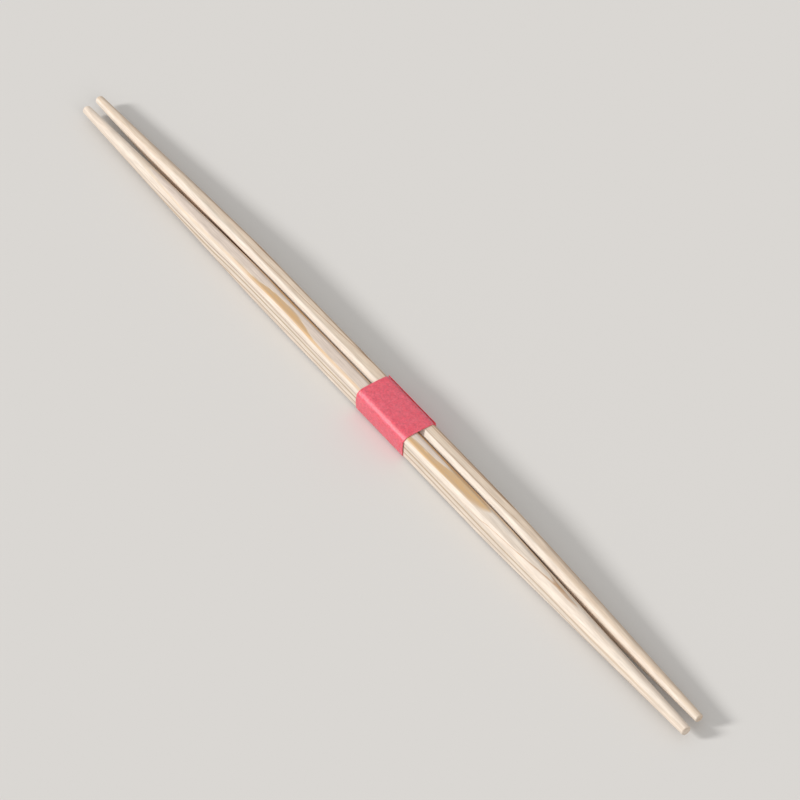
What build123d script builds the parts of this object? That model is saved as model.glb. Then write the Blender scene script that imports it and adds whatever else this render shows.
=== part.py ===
from build123d import *
import math
import os

os.makedirs("parts", exist_ok=True)

# A pair of cedar chopsticks of the kind that is thin at both ends, side by side in a paper band.
# The sticks lie along X with the band nearer their +X end, called the near end here.
# Y runs across the pair, Z is up, and the paper under the sticks rests on z = 0.

# Driving dimensions in millimetres: the sticks
stick_length = 240.0
stick_width = 4.33
stick_height = 6.62
stick_gap = 0.12
stick_stagger = 1.15
tip_drop = 0.5
near_tip_rounding = 0.25
far_tip_rounding = 0.55

# Each stick's tapers and tips, first at the far end and then at the near end
front_taper_lengths = (76.6, 73.4)
back_taper_lengths = (67.7, 71.0)
front_tip_diameters = (2.24, 2.36)
back_tip_diameters = (2.2, 1.9)

# Each stick's planed edges: the upper front one with the lower back one, then the other two
front_edge_flats = (0.88, 0.65)
back_edge_flats = (1.2, 0.82)

# How far past the shoulder each flat of the bar lasts before the turned taper swallows it
near_crown_run = 20.0
far_crown_run = 38.0
cheek_run = 46.0
edge_run = 16.0
turning_margin = 0.05
oval_arcs = 8

# Driving dimensions in millimetres: the paper band
band_width = 18.5
band_offset = 8.2
paper_thickness = 0.12
paper_ease = 0.05
paper_fold_radius = 0.12
front_bulge = 0.2
front_bulge_radius = 12.0
back_slack = 0.12
flap_rise = 0.26
flap_start_height = 1.4
flap_blend = 1.0

# Places that follow from the sizes
half_width = stick_width / 2
half_height = stick_height / 2
tip_x = stick_length / 2
stick_bottom = paper_thickness
stick_top = stick_bottom + stick_height
axis_height = stick_bottom + half_height
pair_side = stick_width + stick_gap / 2


def section_plane(x, y, z):
    """A plane across a stick, centred on this point, with its own X pointing up."""
    return Plane(origin=(x, y, z), x_dir=(0, 0, 1), z_dir=(1, 0, 0))


def outline_plane(x, y, turn):
    """An upright plane along a stick's axis, turned about that axis by a number of degrees."""
    return Plane(origin=(x, y, axis_height), x_dir=(1, 0, 0), z_dir=(0, -1, 0)).rotated((turn, 0, 0))


def draw_oval(high, wide):
    """Lines round an ellipse as short arcs, whose lofts mesh far lighter than that of one curve."""
    points = []
    for step in range(2 * oval_arcs + 1):
        angle = math.pi * step / oval_arcs
        points.append((high * math.cos(angle), wide * math.sin(angle)))
    points[-1] = points[0]
    for start in range(0, 2 * oval_arcs, 2):
        ThreePointArc(*points[start : start + 3])


def turned_radii(edge_flat):
    """Half height and half width of the ellipse that just clears the bar's eight corners."""
    inner_width = half_width - edge_flat
    inner_height = half_height - edge_flat
    scale = (half_width * half_height) ** 2 - (inner_width * inner_height) ** 2
    turned_width = math.sqrt(scale / (half_height**2 - inner_height**2))
    turned_height = math.sqrt(scale / (half_width**2 - inner_width**2))
    return turned_height + turning_margin, turned_width + turning_margin


def reach_at_tip(reach, turned_reach, tip_reach, run, taper_length):
    """Where a flat would stand at the tip, if it meets the turned taper at run past the shoulder."""
    turned_at_run = turned_reach + (tip_reach - turned_reach) * run / taper_length
    return reach + (turned_at_run - reach) * taper_length / run


# Each stick: its name, its side of the pair, its tapers, its tips and its planed edges
sticks = (
    ("chopstick_front", -1, front_taper_lengths, front_tip_diameters, front_edge_flats),
    ("chopstick_back", 1, back_taper_lengths, back_tip_diameters, back_edge_flats),
)

for name, side, taper_lengths, tip_diameters, edge_flats in sticks:
    # The front stick slides a little towards the near end and the back one as far the other way
    middle_x = -side * stick_stagger / 2
    axis_y = side * (stick_width + stick_gap) / 2
    far_taper, near_taper = taper_lengths
    far_radius, near_radius = [diameter / 2 for diameter in tip_diameters]
    far_shoulder_x = far_taper - tip_x
    near_shoulder_x = tip_x - near_taper

    turned_height, turned_width = turned_radii(min(edge_flats))
    turned_edge = math.hypot(turned_width, turned_height) / math.sqrt(2)
    edge_reaches = [(half_width + half_height - flat) / math.sqrt(2) for flat in edge_flats]

    # Each pair of opposite flats: its turn about the axis, its reach from it, that of the turned
    # shape on the same side, and how far it runs on at the far end and at the near end
    flat_pairs = (
        (0, half_height, turned_height, far_crown_run, near_crown_run),
        (90, half_width, turned_width, cheek_run, cheek_run),
        (45, edge_reaches[0], turned_edge, edge_run, edge_run),
        (-45, edge_reaches[1], turned_edge, edge_run, edge_run),
    )

    # The turned shape clears the bar in the middle and closes in on it towards the round tips,
    # which sit a little low because a taper loses more from above than from below
    tip_height = axis_height - tip_drop
    turned_sections = (
        (-tip_x, tip_height, far_radius, far_radius),
        (far_shoulder_x, axis_height, turned_height, turned_width),
        (near_shoulder_x, axis_height, turned_height, turned_width),
        (tip_x, tip_height, near_radius, near_radius),
    )

    with BuildPart() as chopstick:
        # A sawn blank, larger than the stick all round, is planed flat pair by flat pair
        with Locations((middle_x, axis_y, axis_height)):
            Box(stick_length, 2 * stick_height, 2 * stick_height)
        for turn, reach, turned_reach, far_run, near_run in flat_pairs:
            far_reach = reach_at_tip(reach, turned_reach, far_radius, far_run, far_taper)
            near_reach = reach_at_tip(reach, turned_reach, near_radius, near_run, near_taper)
            sink = tip_drop * math.cos(math.radians(turn))
            with BuildSketch(outline_plane(middle_x, axis_y, turn)):
                with BuildLine():
                    Polyline(
                        (-tip_x, -sink - far_reach),
                        (far_shoulder_x, -reach),
                        (near_shoulder_x, -reach),
                        (tip_x, -sink - near_reach),
                        (tip_x, -sink + near_reach),
                        (near_shoulder_x, reach),
                        (far_shoulder_x, reach),
                        (-tip_x, -sink + far_reach),
                        close=True,
                    )
                make_face()
            extrude(amount=2 * stick_height, both=True, mode=Mode.INTERSECT)

        for x, z, high, wide in turned_sections:
            with BuildSketch(section_plane(middle_x + x, axis_y, z)):
                with BuildLine():
                    draw_oval(high, wide)
                make_face()
        loft(ruled=True, mode=Mode.INTERSECT)

        near_end = chopstick.faces().sort_by(Axis.X)[-1]
        fillet(near_end.edges(), near_tip_rounding)
        far_end = chopstick.faces().sort_by(Axis.X)[0]
        fillet(far_end.edges(), far_tip_rounding)

    chopstick.part.label = name
    export_step(chopstick.part, f"parts/{name}.step")


# The band: one strip of paper folded round both sticks and glued to itself behind the back stick.
# Its outline goes up the front, over the top, down the back and home underneath.
front_side = -(pair_side + paper_ease)
back_side = pair_side + back_slack
upper_front_flat, lower_front_flat = front_edge_flats
lower_back_flat, upper_back_flat = back_edge_flats
paper_path = (
    ((front_side + lower_front_flat, stick_bottom), paper_fold_radius),
    ((front_side, stick_bottom + lower_front_flat), paper_fold_radius),
    ((front_side - front_bulge, axis_height), front_bulge_radius),
    ((front_side, stick_top - upper_front_flat), paper_fold_radius),
    ((front_side + upper_front_flat, stick_top), paper_fold_radius),
    ((back_side - upper_back_flat, stick_top), paper_fold_radius),
    ((back_side, stick_top - upper_back_flat), 0),
    ((back_side, stick_bottom + lower_back_flat), paper_fold_radius),
    ((back_side - lower_back_flat, stick_bottom), paper_fold_radius),
)
path_points = [point for point, radius in paper_path]
path_radii = [radius for point, radius in paper_path]

# The sheet's outer end lies on the layer below it, and its last bit stands free above the fold
glue_face = back_side + paper_thickness
flap_face = glue_face + paper_thickness
flap_top = stick_top - upper_back_flat + flap_rise

with BuildPart() as paper_band:
    with BuildSketch(Plane.YZ.offset(band_offset - band_width / 2)):
        with BuildLine():
            FilletPolyline(*path_points, radius=path_radii, close=True)
        make_face()
        offset(amount=paper_thickness, kind=Kind.INTERSECTION)
        with BuildLine():
            Polyline(
                (glue_face, flap_start_height),
                (flap_face, flap_start_height + flap_blend),
                (flap_face, flap_top),
                (glue_face, flap_top),
                close=True,
            )
        make_face()
        with BuildLine():
            FilletPolyline(*path_points, radius=path_radii, close=True)
        make_face(mode=Mode.SUBTRACT)
    extrude(amount=band_width)

paper_band.part.label = "paper_band"
export_step(paper_band.part, "parts/paper_band.step")
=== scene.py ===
# %% [markdown]
# # A pair of cedar chopsticks in a paper band
# Two slim cedar sticks lie side by side. Each is a planed bar in the middle and a turned taper at
# both ends. A narrow strip of thin red paper is folded round the pair and glued at the back.
# The CAD model gives every size and place. This file gives the same pieces their softened edges,
# their year rings, the paper's folds and the light.

# %% Load the frame
import math

import bpy
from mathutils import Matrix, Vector


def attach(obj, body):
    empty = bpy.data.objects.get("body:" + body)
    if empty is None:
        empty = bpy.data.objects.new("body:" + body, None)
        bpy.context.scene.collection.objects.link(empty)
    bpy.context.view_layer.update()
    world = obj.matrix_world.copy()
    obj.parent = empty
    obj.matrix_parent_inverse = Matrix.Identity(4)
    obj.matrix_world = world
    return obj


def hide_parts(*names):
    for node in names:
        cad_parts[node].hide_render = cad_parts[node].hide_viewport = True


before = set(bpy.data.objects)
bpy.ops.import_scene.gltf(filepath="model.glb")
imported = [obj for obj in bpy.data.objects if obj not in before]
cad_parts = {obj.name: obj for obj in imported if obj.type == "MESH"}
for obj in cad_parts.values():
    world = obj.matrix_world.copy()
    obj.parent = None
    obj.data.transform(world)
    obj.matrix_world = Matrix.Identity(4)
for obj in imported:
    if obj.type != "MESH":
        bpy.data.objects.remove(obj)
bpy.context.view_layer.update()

# %% [markdown]
# ## Units and two small helpers
# Blender works in metres here, and a chopstick is easier to think about in millimetres. So every
# size below is in millimetres and is turned to metres in one place.
# Node trees make both shapes and finishes in this file. One function adds a node of any kind,
# sets it up and links it, so that each line of a tree reads like a line of working.

# %% Helpers
MM = 0.001
CALC = "ShaderNodeMath"
VECTOR = "ShaderNodeVectorMath"
MIX = "ShaderNodeMix"
RANGE = "ShaderNodeMapRange"
NOISE = "ShaderNodeTexNoise"


def linear(hex_colour):
    """An sRGB hex colour as the linear RGBA that Blender's sockets take."""
    channels = []
    for start in (1, 3, 5):
        value = int(hex_colour[start : start + 2], 16) / 255
        channels.append(value / 12.92 if value <= 0.04045 else ((value + 0.055) / 1.055) ** 2.4)
    return (*channels, 1.0)


def add(tree, kind, *values, named=None, **settings):
    """Adds a node: settings are its properties, values go to its inputs in order, named by name.

    A value may be a number, a socket or a whole node, and None leaves that input as it is.
    """
    node = tree.nodes.new(kind)
    for key, value in settings.items():
        setattr(node, key, value)
    for key, value in [*enumerate(values), *(named or {}).items()]:
        if value is None:
            continue
        source = value.outputs[0] if isinstance(value, bpy.types.Node) else value
        if isinstance(source, bpy.types.NodeSocket):
            tree.links.new(source, node.inputs[key])
        else:
            node.inputs[key].default_value = source
    return node


def mix_colours(tree, share, first, second):
    """The colour that lies this share of the way from the first colour to the second."""
    node = add(tree, MIX, share, data_type="RGBA")
    for socket, colour in ((node.inputs[6], first), (node.inputs[7], second)):
        if isinstance(colour, str):
            socket.default_value = linear(colour)
        else:
            tree.links.new(colour, socket)
    return node.outputs[2]


# %% [markdown]
# ## The sticks' sizes
# These are the sizes of the CAD source, with two small changes that bring the outline closer to
# the photo: the near tips are a few hundredths of a millimetre thicker, and the front stick's inner
# edge is planed further in over the crown. A flat of the bar doesn't stop where the taper starts.
# It runs on as a wedge until the turned shape swallows it, and each kind of flat has its own run.

# %% Sizes of the sticks
stick_length = 240.0
stick_width = 4.33
stick_height = 6.62
stick_gap = 0.12
stick_stagger = 1.15
tip_drop = 0.5
near_tip_rounding = 0.25
far_tip_rounding = 0.55
turning_margin = 0.05
near_crown_run = 20.0
far_crown_run = 38.0
cheek_run = 46.0
edge_run = 16.0
paper_thickness = 0.12

# Each pair of numbers is for the far end and the near end
front_taper_lengths = (76.6, 73.4)
back_taper_lengths = (67.7, 71.0)
front_tip_radii = (1.12, 1.22)
back_tip_radii = (1.1, 1.04)

# Each planed edge: how far it goes down the cheek and how far in over the crown. The first pair
# is the upper front edge and the lower back one, the second pair is the other two.
front_planed_edges = ((0.88, 0.88), (0.65, 1.1))
back_planed_edges = ((1.2, 1.2), (0.82, 0.82))

half_length = stick_length / 2
half_width = stick_width / 2
half_height = stick_height / 2
axis_height = paper_thickness + half_height
stick_top = paper_thickness + stick_height
pair_side = stick_width + stick_gap / 2
print("bar in mm:", stick_width, "by", stick_height, "and the top at", stick_top)

# %% [markdown]
# ## What the tree needs to know of each stick
# The tree below shapes any stick from a list of named distances, so this step works them out once
# for each stick. The turned oval just clears the bar's eight corners in the middle. A flat's run
# says where it meets that oval on the taper, and so how far from the axis it would stand at the tip.


# %% Named sizes for each stick
def stick_sizes(side, taper_lengths, tip_radii, planed_edges):
    """The named sizes, in millimetres, that the stick tree needs for one stick."""
    smallest_edge = min(down for down, inwards in planed_edges)
    inner_width = half_width - smallest_edge
    inner_height = half_height - smallest_edge
    scale = (half_width * half_height) ** 2 - (inner_width * inner_height) ** 2
    turned_width = math.sqrt(scale / (half_height**2 - inner_height**2)) + turning_margin
    turned_height = math.sqrt(scale / (half_width**2 - inner_width**2)) + turning_margin
    sizes = {
        "Middle X": -side * stick_stagger / 2,
        "Axis Y": side * (stick_width + stick_gap) / 2,
        "Axis Z": axis_height,
        "Half Length": half_length,
        "Tip Drop": tip_drop,
        "Far Tip Rounding": far_tip_rounding,
        "Near Tip Rounding": near_tip_rounding,
    }
    # Each limit: its reach, the turned shape's reach on that side, its runs at the two ends
    limits = {
        "Cheek": (half_width, turned_width, cheek_run, cheek_run),
        "Crown": (half_height, turned_height, far_crown_run, near_crown_run),
    }
    for name, (down, inwards) in zip(("First Edge", "Second Edge"), planed_edges):
        slant = math.hypot(down, inwards)
        sideways, upwards = down / slant, inwards / slant
        reach = sideways * half_width + upwards * (half_height - down)
        turned_reach = math.hypot(sideways * turned_width, upwards * turned_height)
        limits[name] = (reach, turned_reach, edge_run, edge_run)
        sizes[f"{name} Sideways"] = sideways
        sizes[f"{name} Upwards"] = upwards
    for end, taper_length, tip_radius in zip(("Far", "Near"), taper_lengths, tip_radii):
        sizes[f"{end} Taper Length"] = taper_length
        sizes[f"Turned Width {end} Tip"] = tip_radius
        sizes[f"Turned Height {end} Tip"] = tip_radius
        for name, (reach, turned_reach, *runs) in limits.items():
            run = runs[0] if end == "Far" else runs[1]
            turned_at_run = turned_reach + (tip_radius - turned_reach) * run / taper_length
            sizes[f"{name} {end} Tip"] = reach + (turned_at_run - reach) * taper_length / run
            sizes[f"{name} Middle"] = reach
    sizes["Turned Width Middle"] = turned_width
    sizes["Turned Height Middle"] = turned_height
    return sizes


front_sizes = stick_sizes(-1, front_taper_lengths, front_tip_radii, front_planed_edges)
back_sizes = stick_sizes(1, back_taper_lengths, back_tip_radii, back_planed_edges)
print("named sizes for each stick:", len(front_sizes))

# %% [markdown]
# ## A tree that planes and turns a stick
# A stick could be a stretched box with bevels, but its section changes all the way: a bar with
# eight flats turns into a round tip, and each flat fades at its own place. That is a rule, so
# Geometry Nodes follow it. The tree starts from a plain cylinder and moves each point outwards
# to the nearest of four limits: the cheeks, the crowns, the planed edges and the turned oval.
# Where two limits meet, the edge comes out slightly softened, as fine sandpaper leaves it.

# %% Inputs of the stick tree
stick_tree = bpy.data.node_groups.new("Planed and turned stick", "GeometryNodeTree")
stick_inputs = stick_tree.interface
for name in front_sizes:
    stick_inputs.new_socket(name, in_out="INPUT", socket_type="NodeSocketFloat")
for name, kind in (
    ("Points Around", "NodeSocketInt"),
    ("Rows Along", "NodeSocketInt"),
    ("Edge Sharpness", "NodeSocketFloat"),
    ("Ripple", "NodeSocketFloat"),
    ("Seed", "NodeSocketFloat"),
    ("Finish", "NodeSocketMaterial"),
):
    stick_inputs.new_socket(name, in_out="INPUT", socket_type=kind)
stick_inputs.new_socket("Stick", in_out="OUTPUT", socket_type="NodeSocketGeometry")

tree = stick_tree
size = add(tree, "NodeGroupInput").outputs
print("inputs of the stick tree:", len(size) - 1)

# %% [markdown]
# ### The blank and its rows
# The starting cylinder stands on its end, two units high, and its own z becomes the place along the
# stick. Even rows would waste faces on the straight bar. A sine brings them closer together towards
# the tips, where the ends round.

# %% The blank and its rows
# Three rings close each end, and the radius is 1
blank = add(
    tree, "GeometryNodeMeshCylinder", size["Points Around"], size["Rows Along"], 3, 1.0, 2.0,
    fill_type="TRIANGLE_FAN",
)
start = add(tree, "ShaderNodeSeparateXYZ", add(tree, "GeometryNodeInputPosition"))
flat_place = add(tree, "ShaderNodeCombineXYZ", start.outputs[0], start.outputs[1], 0.0)
spread = add(tree, VECTOR, flat_place, operation="LENGTH").outputs["Value"]
direction = add(tree, "ShaderNodeSeparateXYZ", add(tree, VECTOR, flat_place, operation="NORMALIZE"))
across, upward = direction.outputs[0], direction.outputs[1]

# Where each row lies along the stick, and how far down its taper
turn = add(tree, CALC, start.outputs[2], math.pi / 2, operation="MULTIPLY")
x = add(tree, CALC, add(tree, CALC, turn, operation="SINE"), size["Half Length"], operation="MULTIPLY")
near_half = add(tree, CALC, x, 0.0, operation="GREATER_THAN")
taper_length = add(tree, MIX, near_half, None, size["Far Taper Length"], size["Near Taper Length"])
from_middle = add(tree, CALC, x, operation="ABSOLUTE")
to_end = add(tree, CALC, size["Half Length"], from_middle, operation="SUBTRACT")
before_taper = add(tree, CALC, taper_length, to_end, operation="SUBTRACT")
down_taper = add(tree, CALC, before_taper, taper_length, operation="DIVIDE", use_clamp=True)
print("nodes for the blank:", len(tree.nodes))

# %% [markdown]
# ### Four limits
# A carver would ask of each direction from the axis: what stops me first? For each limit the tree
# works out the share of its distance that one millimetre in this direction takes up. The limit with
# the largest share is the nearest one. Both pairs of planed edges are one limit here, because no
# direction meets more than one of them.


# %% The share of each limit
def reach_of(name):
    """How far this limit stands from the axis at this row."""
    tip = add(stick_tree, MIX, near_half, None, size[f"{name} Far Tip"], size[f"{name} Near Tip"])
    return add(stick_tree, MIX, down_taper, None, size[f"{name} Middle"], tip)


# How much of this direction each limit takes, for a point one millimetre from the axis
side_part = add(tree, CALC, across, operation="ABSOLUTE")
up_part = add(tree, CALC, upward, operation="ABSOLUTE")
quarter = add(tree, CALC, across, upward, operation="MULTIPLY")
second_pair = add(tree, CALC, quarter, 0.0, operation="GREATER_THAN")
sideways = add(tree, MIX, second_pair, None, size["First Edge Sideways"], size["Second Edge Sideways"])
upwards = add(tree, MIX, second_pair, None, size["First Edge Upwards"], size["Second Edge Upwards"])
edge_part = add(tree, CALC, up_part, upwards, operation="MULTIPLY")
edge_part = add(tree, CALC, side_part, sideways, edge_part, operation="MULTIPLY_ADD")
edge_reach = add(tree, MIX, second_pair, None, reach_of("First Edge"), reach_of("Second Edge"))
oval = add(
    tree, "ShaderNodeCombineXYZ",
    add(tree, CALC, across, reach_of("Turned Width"), operation="DIVIDE"),
    add(tree, CALC, upward, reach_of("Turned Height"), operation="DIVIDE"),
)
shares = [
    add(tree, CALC, side_part, reach_of("Cheek"), operation="DIVIDE"),
    add(tree, CALC, up_part, reach_of("Crown"), operation="DIVIDE"),
    add(tree, CALC, edge_part, edge_reach, operation="DIVIDE"),
    add(tree, VECTOR, oval, operation="LENGTH").outputs["Value"],
]
print("limits:", len(shares))

# %% [markdown]
# ### Softened edges
# The largest share alone would leave every edge as sharp as a knife. All the shares raised to a high
# power, added up, and brought back by the same root give nearly the same distance, but round each
# edge a little. They are divided by the largest one first, so that the powers stay small.

# %% The reach of each point
largest = shares[0]
for share in shares[1:]:
    largest = add(tree, CALC, largest, share, operation="MAXIMUM")
largest = add(tree, CALC, largest, 0.01, operation="MAXIMUM")
total = 0.0
for share in shares:
    part = add(tree, CALC, share, largest, operation="DIVIDE")
    total = add(tree, CALC, add(tree, CALC, part, size["Edge Sharpness"], operation="POWER"), total)
root = add(tree, CALC, -1.0, size["Edge Sharpness"], operation="DIVIDE")
reach = add(tree, CALC, add(tree, CALC, total, 0.5, operation="MAXIMUM"), root, operation="POWER")
reach = add(tree, CALC, reach, largest, operation="DIVIDE")
print("nodes up to the reach:", len(tree.nodes))

# %% [markdown]
# ### Rounded ends, plane waves and the final place
# A bevel could round the ends, but it would need the right edges picked at each of them. The rule
# does it as well: the last rows follow a quarter circle that starts one rounding before the end. A
# plane also leaves faint waves in the wood, which keep long highlights from looking machine-made.

# %% Finish the stick tree
rounding = add(tree, MIX, near_half, None, size["Far Tip Rounding"], size["Near Tip Rounding"])
into_rounding = add(tree, CALC, rounding, to_end, operation="SUBTRACT")
into_rounding = add(tree, CALC, into_rounding, 0.0, operation="MAXIMUM")
rest = add(
    tree, CALC, add(tree, CALC, rounding, rounding, operation="MULTIPLY"),
    add(tree, CALC, into_rounding, into_rounding, operation="MULTIPLY"), operation="SUBTRACT",
)
trim = add(tree, CALC, rounding, add(tree, CALC, rest, operation="SQRT"), operation="SUBTRACT")
reach = add(tree, CALC, reach, trim, operation="SUBTRACT")

# The surface dips below its size by up to 0.03 mm, in waves about 8 mm long
wave_x = add(tree, CALC, x, 0.12, operation="MULTIPLY")
wave_place = add(tree, "ShaderNodeCombineXYZ", wave_x, across, upward)
wave = add(tree, NOISE, wave_place, size["Seed"], 1.0, 2.0, noise_dimensions="4D")
wave = add(tree, CALC, wave, 1.0, operation="SUBTRACT")
wave = add(tree, CALC, wave, size["Ripple"], operation="MULTIPLY")
reach = add(tree, CALC, add(tree, CALC, reach, wave), spread, operation="MULTIPLY")

# Put the point there, smooth the shading and hand the stick over in metres
drop = add(tree, CALC, size["Tip Drop"], down_taper, operation="MULTIPLY")
middle_z = add(tree, CALC, size["Axis Z"], drop, operation="SUBTRACT")
place = add(
    tree, "ShaderNodeCombineXYZ",
    add(tree, CALC, x, size["Middle X"]),
    add(tree, CALC, across, reach, size["Axis Y"], operation="MULTIPLY_ADD"),
    add(tree, CALC, upward, reach, middle_z, operation="MULTIPLY_ADD"),
)
place = add(tree, VECTOR, place, operation="SCALE", named={"Scale": MM})
shaped = add(tree, "GeometryNodeSetPosition", blank, named={"Position": place})
smooth = add(tree, "GeometryNodeSetShadeSmooth", shaped)
whole = add(tree, "GeometryNodeRealizeInstances", smooth)
finished = add(tree, "GeometryNodeSetMaterial", whole, None, size["Finish"])
add(tree, "NodeGroupOutput", finished)
print("stick tree:", len(tree.nodes), "nodes")


# %% [markdown]
# ## Cedar
# The wood is pale cedar, split and planed, without any finish on it. What the eye sees is layers:
# wide cream earlywood and thin tan latewood, one pair a year. The layers are a solid pattern, so
# the side of a stick shows them as fine parallel lines, while a face that lies nearly level with
# them shows long flame shapes where it cuts into one. A flat picture of grain could never agree
# from face to face; a solid pattern in the wood's own coordinates does, tapers and tips included.

# %% Curves, layers and figure
lowest_layer = -2.0
highest_layer = 12.0


def curve_along(tree, share_along, places, lowest, highest):
    """A smooth value along the stick that passes through the listed (place in mm, value) pairs."""
    curve = add(tree, "ShaderNodeFloatCurve", 1.0, share_along)
    points = curve.mapping.curves[0].points
    for index, (place, value) in enumerate(places):
        spot_on_curve = (0.5 + place / stick_length, (value - lowest) / (highest - lowest))
        if index in (0, len(places) - 1):
            points[0 if index == 0 else len(points) - 1].location = spot_on_curve
        else:
            points.new(*spot_on_curve)
    curve.mapping.update()
    return add(tree, RANGE, curve, 0.0, 1.0, lowest, highest)


def layer_tints(tree, place_in_stack, layers):
    """Each layer tints the wood more and more towards its outer face and stops there."""
    ramp = add(tree, "ShaderNodeValToRGB", place_in_stack)
    stops = ramp.color_ramp.elements
    stops.remove(stops[1])
    stops[0].color = (1.0, 1.0, 1.0, 1.0)
    for outer_face, thickness, tint in layers:
        full_from = thickness * 0.7
        for below, shade in ((thickness, "#ffffff"), (full_from, tint), (0.04, tint), (0.0, "#ffffff")):
            stop = stops.new((outer_face - below - lowest_layer) / (highest_layer - lowest_layer))
            stop.color = linear(shade)
    return ramp.outputs[0]


def figure(tree, spot, length, width, seed, detail):
    """Noise whose marks lie along the grain and are about this long and wide, in millimetres."""
    place = add(tree, VECTOR, spot, (1 / length, 1 / width, 1 / width), operation="MULTIPLY")
    return add(tree, NOISE, place, seed, 1.0, detail, noise_dimensions="4D")


print("depth that the layers can reach, in mm:", highest_layer - lowest_layer)

# %% [markdown]
# ## One recipe for both woods
# The two sticks were cut from one kind of wood but lie differently in it, so one function makes
# both finishes. The wood is planed and bare: rough enough to spread the light, with raised fibres
# that give it a faint, silky streak. Tints across the pair add painted shade in the groove between
# the sticks and on the back stick's shaded upper back edge.

# %% Cedar material
# Each tint is at its place in mm from the middle of the pair. Painted shade: a warm shade on the
# front stick's inner edge deepening to dark brown in the groove between the sticks, and a darker band
# on the back stick's shaded upper back edge. The back stick's top is also a little greyer.
painted_shade_and_tints_across = (
    (-5.0, "#ffffff"), (-0.9, "#ffffff"), (-0.6, "#fff1df"), (-0.25, "#fbe3c6"), (-0.12, "#7c5638"),
    (0.12, "#7c5638"), (0.3, "#ffffff"), (1.3, "#ffffff"), (1.6, "#f6f1ea"), (3.45, "#f3ebe2"),
    (3.6, "#e6d3c0"), (3.95, "#e6d3c0"), (4.1, "#ffffff"),
)


def cedar(name, tilt, swells, strengths, layers, heartward, seed):
    """Cedar whose layers lie at these depths in mm, counted upwards from the table.

    tilt is how much the layers sink for each mm across the stick. Swells, strengths and layers come
    in pairs, for the lower and the upper part of the stick. A swell lists how far the layers rise
    along it, a strength how plain they are there, and each layer is its outer face, its thickness
    and its tint. Beyond the depth called heartward the wood is a little greyer.
    """
    material = bpy.data.materials.new(name)
    material.use_nodes = True
    tree = material.node_tree
    tree.nodes.clear()

    # Places in the wood, in millimetres
    spot = add(tree, "ShaderNodeTexCoord").outputs["Object"]
    spot = add(tree, VECTOR, spot, operation="SCALE", named={"Scale": 1 / MM})
    along, aside, height = add(tree, "ShaderNodeSeparateXYZ", spot).outputs

    # Broad tints, short fibres, and a slow wander of the layers
    broad = figure(tree, spot, 50.0, 1.2, seed + 3, 3.0)
    fibre = figure(tree, spot, 5.0, 0.3, seed + 7, 2.0)
    wander = figure(tree, spot, 40.0, 5.0, seed, 2.0)

    # The layers rise and fall along the stick, the upper ones more than the lower ones. The upper
    # part is the crown with its planed edges, from about 5 mm above the table.
    share_along = add(tree, RANGE, along, -half_length, half_length, 0.0, 1.0)
    upper_share = add(tree, RANGE, height, 4.8, 5.4, 0.0, 1.0)
    rises = [curve_along(tree, share_along, swell, -2.0, 2.0) for swell in swells]
    rise = add(tree, MIX, upper_share, None, *rises)
    depth = add(tree, CALC, aside, tilt, height, operation="MULTIPLY_ADD")
    depth = add(tree, CALC, depth, rise, operation="SUBTRACT")

    # A little wander, and fibres that cross each border between layers
    wander = add(tree, CALC, wander, 0.5, operation="SUBTRACT")
    depth = add(tree, CALC, wander, 0.16, depth, operation="MULTIPLY_ADD")
    loose = add(tree, CALC, fibre, 0.5, operation="SUBTRACT")
    depth = add(tree, CALC, loose, 0.16, depth, operation="MULTIPLY_ADD")

    # Each place takes the tint of the layer that it lies in, as strongly as the layer shows there
    place_in_stack = add(tree, RANGE, depth, lowest_layer, highest_layer, 0.0, 1.0)
    tints = [layer_tints(tree, place_in_stack, stack) for stack in layers]
    tint = mix_colours(tree, upper_share, *tints)
    curves = [curve_along(tree, share_along, strength, 0.0, 1.0) for strength in strengths]
    strength = add(tree, MIX, upper_share, None, *curves)
    fibre_share = add(tree, RANGE, fibre, 0.3, 0.7, 0.65, 1.1)
    strength = add(tree, CALC, strength, fibre_share, operation="MULTIPLY", use_clamp=True)
    tint = mix_colours(tree, strength, "#ffffff", tint)

    # Cream wood, greyer beyond the outermost layer, times the layers' tints and the fibres' streaks
    broad_share = add(tree, RANGE, broad, 0.35, 0.65, 0.0, 1.0)
    cream = mix_colours(tree, broad_share, "#e9dccd", "#e3d1bf")
    greyer = add(tree, RANGE, depth, heartward - 0.02, heartward + 0.05, 0.0, 1.0)
    cream = mix_colours(tree, greyer, cream, "#dfcec0")
    colour = add(tree, VECTOR, cream, tint, operation="MULTIPLY")
    streak = add(tree, RANGE, fibre, 0.25, 0.75, 0.82, 1.13)
    colour = add(tree, VECTOR, colour, operation="SCALE", named={"Scale": streak.outputs[0]})

    # Painted shade across the pair, in the groove and on the back stick's shaded back edge, and the
    # back stick's greyer top
    share_across = add(tree, RANGE, aside, -5.0, 5.0, 0.0, 1.0)
    painted_shade_ramp = add(tree, "ShaderNodeValToRGB", share_across)
    stops = painted_shade_ramp.color_ramp.elements
    stops.remove(stops[1])
    stops[0].color = linear(painted_shade_and_tints_across[0][1])
    for place, shade in painted_shade_and_tints_across[1:]:
        stops.new(place / 10 + 0.5).color = linear(shade)
    colour = add(tree, VECTOR, colour, painted_shade_ramp, operation="MULTIPLY")

    # Raised fibres catch the light
    bump = add(tree, "ShaderNodeBump", 0.25, 0.00003, named={"Height": fibre})
    shader = add(
        tree, "ShaderNodeBsdfPrincipled",
        named={"Base Color": colour, "Roughness": 0.62, "IOR": 1.45, "Normal": bump},
    )
    add(tree, "ShaderNodeOutputMaterial", shader)
    return material


# %% [markdown]
# ## How the layers lie in each stick
# The pattern could be left to chance, as most wood textures are. Here the layers rise and fall where
# the wood in the photo shows it. The front stick's layers lie nearly level, so that its top grazes
# one of them and shows two tan flames, with a pointed line further on. The back stick's layers stand
# steeper, and its top shows them as thin slanting lines.

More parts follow.
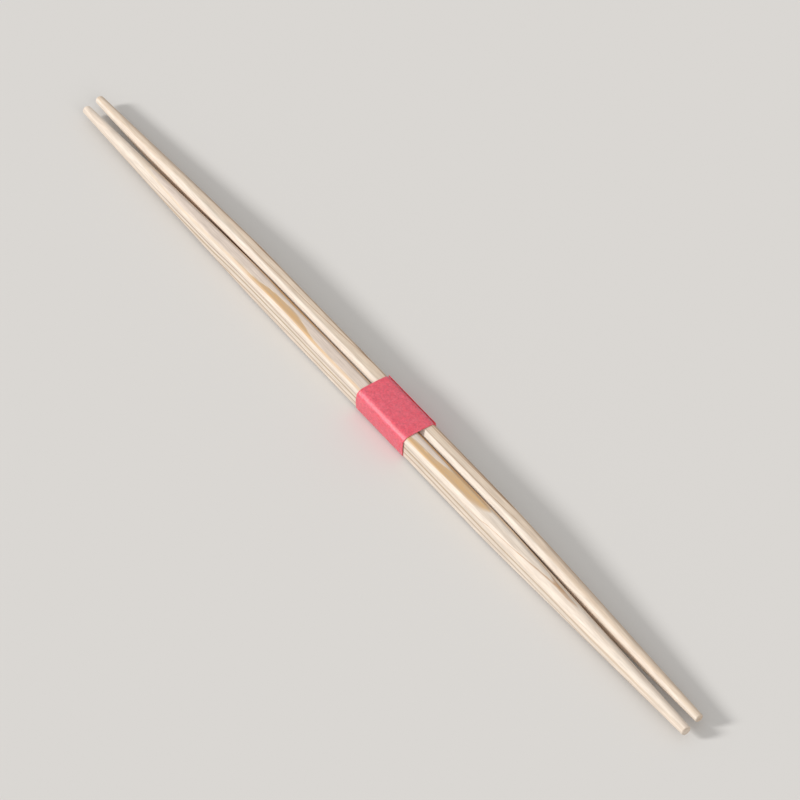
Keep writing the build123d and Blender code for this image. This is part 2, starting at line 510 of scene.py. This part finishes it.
# %% The two woods
front_cedar = cedar(
    "Cedar, planed, layers nearly level",
    tilt=0.17,
    swells=(
        (
            (-120, -1.4), (-65, -1.1), (-53, -0.45), (-40, -0.1), (-10, -0.2), (26, 0.14), (52, 0.0),
            (66, 0.17), (74, 0.25), (84, 0.26), (109, 0.2), (120, 0.15),
        ),
        (
            (-120, -1.55), (-84, -1.55), (-67, -1.1), (-58, -0.72), (-50, -0.4), (-44, -0.22),
            (-40, -0.07), (-35, 0.01), (-30, 0.0), (-25, -0.1), (-20, -0.24), (-11, -0.3),
            (10, -0.26), (18.6, -0.12), (25, -0.05), (30, 0.06), (36, 0.2), (42, 0.3), (46, 0.48),
            (48, 0.72), (50, 0.9), (55, 1.02), (66, 1.27), (71, 1.26), (75, 1.135), (79, 1.01),
            (84, 0.98), (120, 0.95),
        ),
    ),
    strengths=(
        (
            (-120, 0.1), (-96, 0.25), (-78, 0.8), (-60, 1.0), (48, 1.0), (66, 0.75), (84, 0.65),
            (104, 0.5), (120, 0.3),
        ),
        (
            (-120, 0.15), (-80, 0.25), (-60, 0.35), (-48, 0.6), (-42, 1.0), (-24, 1.0), (-8, 0.6),
            (18, 1.0), (80, 1.0), (90, 0.4), (120, 0.2),
        ),
    ),
    layers=(
        (
            (-0.15, 0.5, "#d6cec4"), (1.72, 0.6, "#d4cbc0"), (3.42, 0.65, "#cbbea8"),
            (4.68, 0.5, "#bfb1ab"), (6.42, 0.6, "#e9cda2"),
        ),
        ((3.36, 0.3, "#dcc8b0"), (4.66, 0.12, "#d0b08e"), (6.42, 0.6, "#e9cda2")),
    ),
    heartward=6.42,
    seed=2.0,
)

# The back stick has one stack of layers from bottom to top
back_swell = (
    (-120, 0.23), (-50, 0.23), (-40, 0.46), (-30, 0.64), (-20, 0.87), (-10, 1.3), (0, 1.5), (10, 0.2),
    (18, 0.0), (35, 0.07), (45, 0.13), (52, 0.27), (120, 0.4),
)
back_strength = ((-120, 0.2), (-62, 0.2), (-48, 1.0), (48, 1.0), (58, 0.2), (120, 0.2))
back_layers = (
    (1.2, 0.3, "#cfc3b4"), (2.5, 0.3, "#cfc3b4"), (3.9, 0.3, "#cfc3b4"), (5.0, 0.25, "#e9dfd4"),
    (7.8, 0.15, "#ccb8a6"), (8.95, 0.2, "#cdb9a5"),
)
back_cedar = cedar(
    "Cedar, planed, layers on the slant",
    tilt=0.667,
    swells=(back_swell, back_swell),
    strengths=(back_strength, back_strength),
    layers=(back_layers, back_layers),
    heartward=highest_layer,
    seed=9.0,
)
print("cedar materials:", front_cedar.name, "|", back_cedar.name)

# %% [markdown]
# ## The two sticks
# Both come from the same tree with their own sizes, as two sticks split from one blank would.
# A modifier's inputs are set by the sockets' identifiers, then the result is kept as a plain mesh.

# %% Make the sticks
points_around = 220
rows_along = 320
edge_sharpness = 80.0
plane_waves = 0.03
identifiers = {
    item.name: item.identifier for item in stick_inputs.items_tree if item.in_out == "INPUT"
}


def make_stick(name, sizes, finish, seed):
    """One stick as a plain mesh from the stick tree."""
    stick = bpy.data.objects.new(name, bpy.data.meshes.new(name))
    bpy.context.scene.collection.objects.link(stick)
    modifier = stick.modifiers.new("Stick", "NODES")
    modifier.node_group = stick_tree
    settings = {
        **sizes, "Points Around": points_around, "Rows Along": rows_along,
        "Edge Sharpness": edge_sharpness, "Ripple": plane_waves, "Seed": seed, "Finish": finish,
    }
    for key, value in settings.items():
        modifier[identifiers[key]] = value
    evaluated = stick.evaluated_get(bpy.context.evaluated_depsgraph_get())
    stick.data = bpy.data.meshes.new_from_object(evaluated)
    stick.modifiers.clear()
    stick.data.name = name
    print(name, "faces:", len(stick.data.polygons))
    return stick


front_stick = make_stick("front_stick", front_sizes, front_cedar, 1.0)
back_stick = make_stick("back_stick", back_sizes, back_cedar, 5.0)
for stick, node in ((front_stick, "chopstick_front"), (back_stick, "chopstick_back")):
    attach(stick, "root")
    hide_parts(node)


# %% [markdown]
# ## Red paper
# The band is thin, soft-finished coloured paper, like the paper sold for folding. Up close it is
# a mat of short fibres, so the colour is slightly cloudy and the surface has a fine tooth. It is
# calendered a little smooth, which lets the fold at the front pick up a soft light. Some light
# also goes through such thin paper, so its shaded side glows a deep red.

# %% Paper material
def band_paper(name):
    """Coloured paper with a fibre mottle, a soft sheen and a little light passing through."""
    material = bpy.data.materials.new(name)
    material.use_nodes = True
    tree = material.node_tree
    tree.nodes.clear()
    spot = add(tree, "ShaderNodeTexCoord").outputs["Object"]
    spot = add(tree, VECTOR, spot, operation="SCALE", named={"Scale": 1 / MM})

    # A slightly cloudy colour, and a mat of fibres that also gives the surface its tooth
    cloud = add(tree, NOISE, spot, None, 1.1, 3.0, 0.6)
    fibre = add(tree, NOISE, spot, None, 1.9, 3.0, 0.7)
    cloud_share = add(tree, RANGE, cloud, 0.3, 0.7, 0.0, 1.0)
    colour = mix_colours(tree, cloud_share, "#ee5a6c", "#fa7281")
    tint = add(tree, RANGE, fibre, 0.3, 0.7, 0.82, 1.15)
    colour = add(tree, VECTOR, colour, operation="SCALE", named={"Scale": tint.outputs[0]})
    bump = add(tree, "ShaderNodeBump", 0.3, 0.00003, named={"Height": fibre})

    # Light goes up to a third of a millimetre into the sheet, and red light goes furthest
    shader = add(
        tree, "ShaderNodeBsdfPrincipled",
        named={
            "Base Color": colour, "Roughness": 0.39, "IOR": 1.5, "Normal": bump,
            "Subsurface Weight": 1.0, "Subsurface Radius": (1.0, 0.25, 0.2), "Subsurface Scale": 0.0003,
        },
    )
    add(tree, "ShaderNodeOutputMaterial", shader)
    return material


red_paper = band_paper("Paper, coloured, calendered")
print("paper material:", red_paper.name)

# %% [markdown]
# ## The paper band
# One strip of paper starts behind the back stick, goes over the top, down the front and home
# underneath, and ends glued over its own start. Its free end stands up straight behind the planed
# edge of the back stick. A box with a hole would show none of this, so the strip's path is drawn
# as a folded line with a radius for each fold, and the sheet follows it from cut edge to cut edge.
# Hands never wrap quite square, so the strip also slips a little towards the far end as it goes.

# %% The path of the fold
band_width = 18.5
band_middle = 8.31
clearance = 0.001
glue_line = 0.005
back_slack = 0.12
back_inner = pair_side + back_slack
back_outer = back_inner + paper_thickness + glue_line
underside = paper_thickness + clearance
flap_top = 6.18

# Each corner of the path: across, up, slip along the sticks, and the radius of its fold
fold_path = (
    (back_inner, 2.5, -0.2, 0.0),
    (back_inner, 5.92, -0.1, 0.15),
    (3.6, 6.75, 0.0, 0.6),
    (1.4, 6.87, 0.0, 12.0),
    (-1.1, 6.91, 0.0, 12.0),
    (-3.45, 6.8, 0.0, 1.2),
    (-4.54, 5.84, -0.12, 1.5),
    (-4.62, 3.3, -0.4, 12.0),
    (-4.43, 0.79, -0.55, 0.3),
    (-3.36, underside, -0.55, 0.15),
    (back_inner - 1.2, underside, -0.5, 0.15),
    (back_inner, 1.32, -0.45, 0.15),
    (back_inner, 1.5, -0.45, 0.5),
    (back_outer, 2.3, -0.45, 0.5),
    (back_outer, flap_top, -0.45, 0.0),
)
path_step = 0.12
fold_steps = 8
rows_across = 63


def rounded_path(corners):
    """The folded line with an arc at each fold, as close, even points."""
    places = [Vector(corner[:3]) for corner in corners]
    line = [places[0]]
    for before, corner, after, (*_, radius) in zip(places, places[1:], places[2:], corners[1:]):
        back, ahead = before - corner, after - corner
        half_turn = back.angle(ahead) / 2
        cut = min(radius / math.tan(half_turn), back.length * 0.49, ahead.length * 0.49)
        first = corner + back.normalized() * cut
        last = corner + ahead.normalized() * cut
        for step in range(fold_steps + 1):
            share = step / fold_steps
            line.append(first.lerp(corner, share).lerp(corner.lerp(last, share), share))
    line.append(places[-1])
    even = [line[0]]
    left = path_step
    for start, end in zip(line, line[1:]):
        length = (end - start).length
        while length > left:
            start = start.lerp(end, left / length)
            even.append(start)
            length = (end - start).length
            left = path_step
        left -= length
    even.append(line[-1])
    return even


path = rounded_path(fold_path)
strip_length = sum((end - start).length for start, end in zip(path, path[1:]))
print("paper strip length in mm:", round(strip_length, 1))

# %% [markdown]
# ## From path to sheet
# Rows of points across the strip follow the path, and a Solidify modifier gives the sheet its real
# thickness, outwards from the path. So both cut edges and the loose edge of the overlap are real.

# %% Fold the band
vertices = []
for across_pair, up, slip in path:
    for row in range(rows_across):
        x = band_middle + slip + band_width * (row / (rows_across - 1) - 0.5)
        vertices.append((x * MM, across_pair * MM, up * MM))
faces = []
for index in range(len(path) - 1):
    for row in range(rows_across - 1):
        corner = index * rows_across + row
        faces.append((corner, corner + rows_across, corner + rows_across + 1, corner + 1))
mesh = bpy.data.meshes.new("paper_strip")
mesh.from_pydata(vertices, [], faces)
mesh.polygons.foreach_set("use_smooth", [True] * len(faces))
band = bpy.data.objects.new("paper_strip", mesh)
bpy.context.scene.collection.objects.link(band)
band.data.materials.append(red_paper)
thicken = band.modifiers.new("Thickness", "SOLIDIFY")
thicken.thickness = paper_thickness * MM
thicken.offset = 1.0
thicken.use_even_offset = False
evaluated = band.evaluated_get(bpy.context.evaluated_depsgraph_get())
band.data = bpy.data.meshes.new_from_object(evaluated)
band.modifiers.clear()
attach(band, "root")
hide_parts("paper_band")
print("band faces:", len(band.data.polygons))

# %% [markdown]
# ## Floor
# The pair lies on a plain floor in matt paint. Bare paint as pale as the camera should see it would
# throw too much light back into the shaded sides, so only the rays that the camera sees, straight or
# in a reflection, find the paler tint. The shadow stays on both.

# %% Floor
floor_mesh = bpy.data.meshes.new("floor")
half_floor = 3.0
floor_corners = [(x, y, 0) for x, y in ((-1, -1), (1, -1), (1, 1), (-1, 1))]
floor_mesh.from_pydata([Vector(corner) * half_floor for corner in floor_corners], [], [(0, 1, 2, 3)])
floor = bpy.data.objects.new("floor", floor_mesh)
bpy.context.scene.collection.objects.link(floor)
floor_material = bpy.data.materials.new("Floor, matt paint, pale")
floor_material.use_nodes = True
tree = floor_material.node_tree
tree.nodes.clear()
rays = add(tree, "ShaderNodeLightPath").outputs
seen = add(tree, CALC, rays["Is Camera Ray"], rays["Is Glossy Ray"], operation="MAXIMUM")
seen = add(tree, CALC, seen, rays["Is Transmission Ray"], operation="MAXIMUM")
floor_tint = mix_colours(tree, seen, "#b0aca7", "#dcd9d5")
add(tree, "ShaderNodeOutputMaterial", add(tree, "ShaderNodeBsdfDiffuse", floor_tint, 0.0))
floor_mesh.materials.append(floor_material)
print("floor in metres:", 2 * half_floor)

# %% [markdown]
# ## Light
# A softened key lamp comes in low from the front left: it grazes the top, strikes the planed edges
# squarely, and sets the length of the shadow behind. An even white surround fills the shade, and a
# wide weak lamp from the near end keeps the cut ends readable. Lamps close by would light the floor
# unevenly when it is seen from another side, so both are as far away as the sun.

# %% Light
world = bpy.data.worlds.new("Studio surround")
bpy.context.scene.world = world
world.use_nodes = True
world.node_tree.nodes["Background"].inputs["Color"].default_value = (1, 1, 1, 1)
world.node_tree.nodes["Background"].inputs["Strength"].default_value = 0.55

# Each lamp: its strength in watts per square metre, how wide it looks in degrees, and the way it
# lies. A sun lights from that way wherever it stands.
for name, strength, width, way in (
    ("key", 2.2, 11.9, (-0.30, -0.60, 0.34)),
    ("fill", 0.707, 36.9, (0.85, -0.2, 0.5)),
):
    lamp_data = bpy.data.lights.new(name, "SUN")
    lamp_data.energy = strength
    lamp_data.angle = math.radians(width)
    lamp = bpy.data.objects.new(name, lamp_data)
    lamp.location = Vector(way).normalized()
    lamp.rotation_euler = (-lamp.location).to_track_quat("-Z", "Y").to_euler()
    bpy.context.scene.collection.objects.link(lamp)
    print("lamp:", name, "at a strength of", strength)

# %% [markdown]
# ## Camera
# The two long sides of the sticks stay nearly parallel in the photo, so the camera stood far away
# with a long lens. Its place comes from fitting the object's outline to the one in the picture.

# %% Camera
camera_distance = 1200.0
camera_target = Vector((1.767, 5.584, 0.0))
camera_azimuth = math.radians(54.694)
camera_elevation = math.radians(46.837)
away = Vector((
    math.cos(camera_elevation) * math.sin(camera_azimuth),
    -math.cos(camera_elevation) * math.cos(camera_azimuth),
    math.sin(camera_elevation),
))
camera_data = bpy.data.cameras.new("camera")
camera_data.sensor_width = 36.0  # a full-frame camera, in mm
camera_data.lens = 233.505
camera = bpy.data.objects.new("camera", camera_data)
camera.location = (camera_target + away * camera_distance) * MM
camera.rotation_euler = (-away).to_track_quat("-Z", "Y").to_euler()
bpy.context.scene.collection.objects.link(camera)
bpy.context.scene.camera = camera
bpy.context.scene.view_settings.view_transform = "Standard"
print("camera lens in mm:", camera_data.lens)
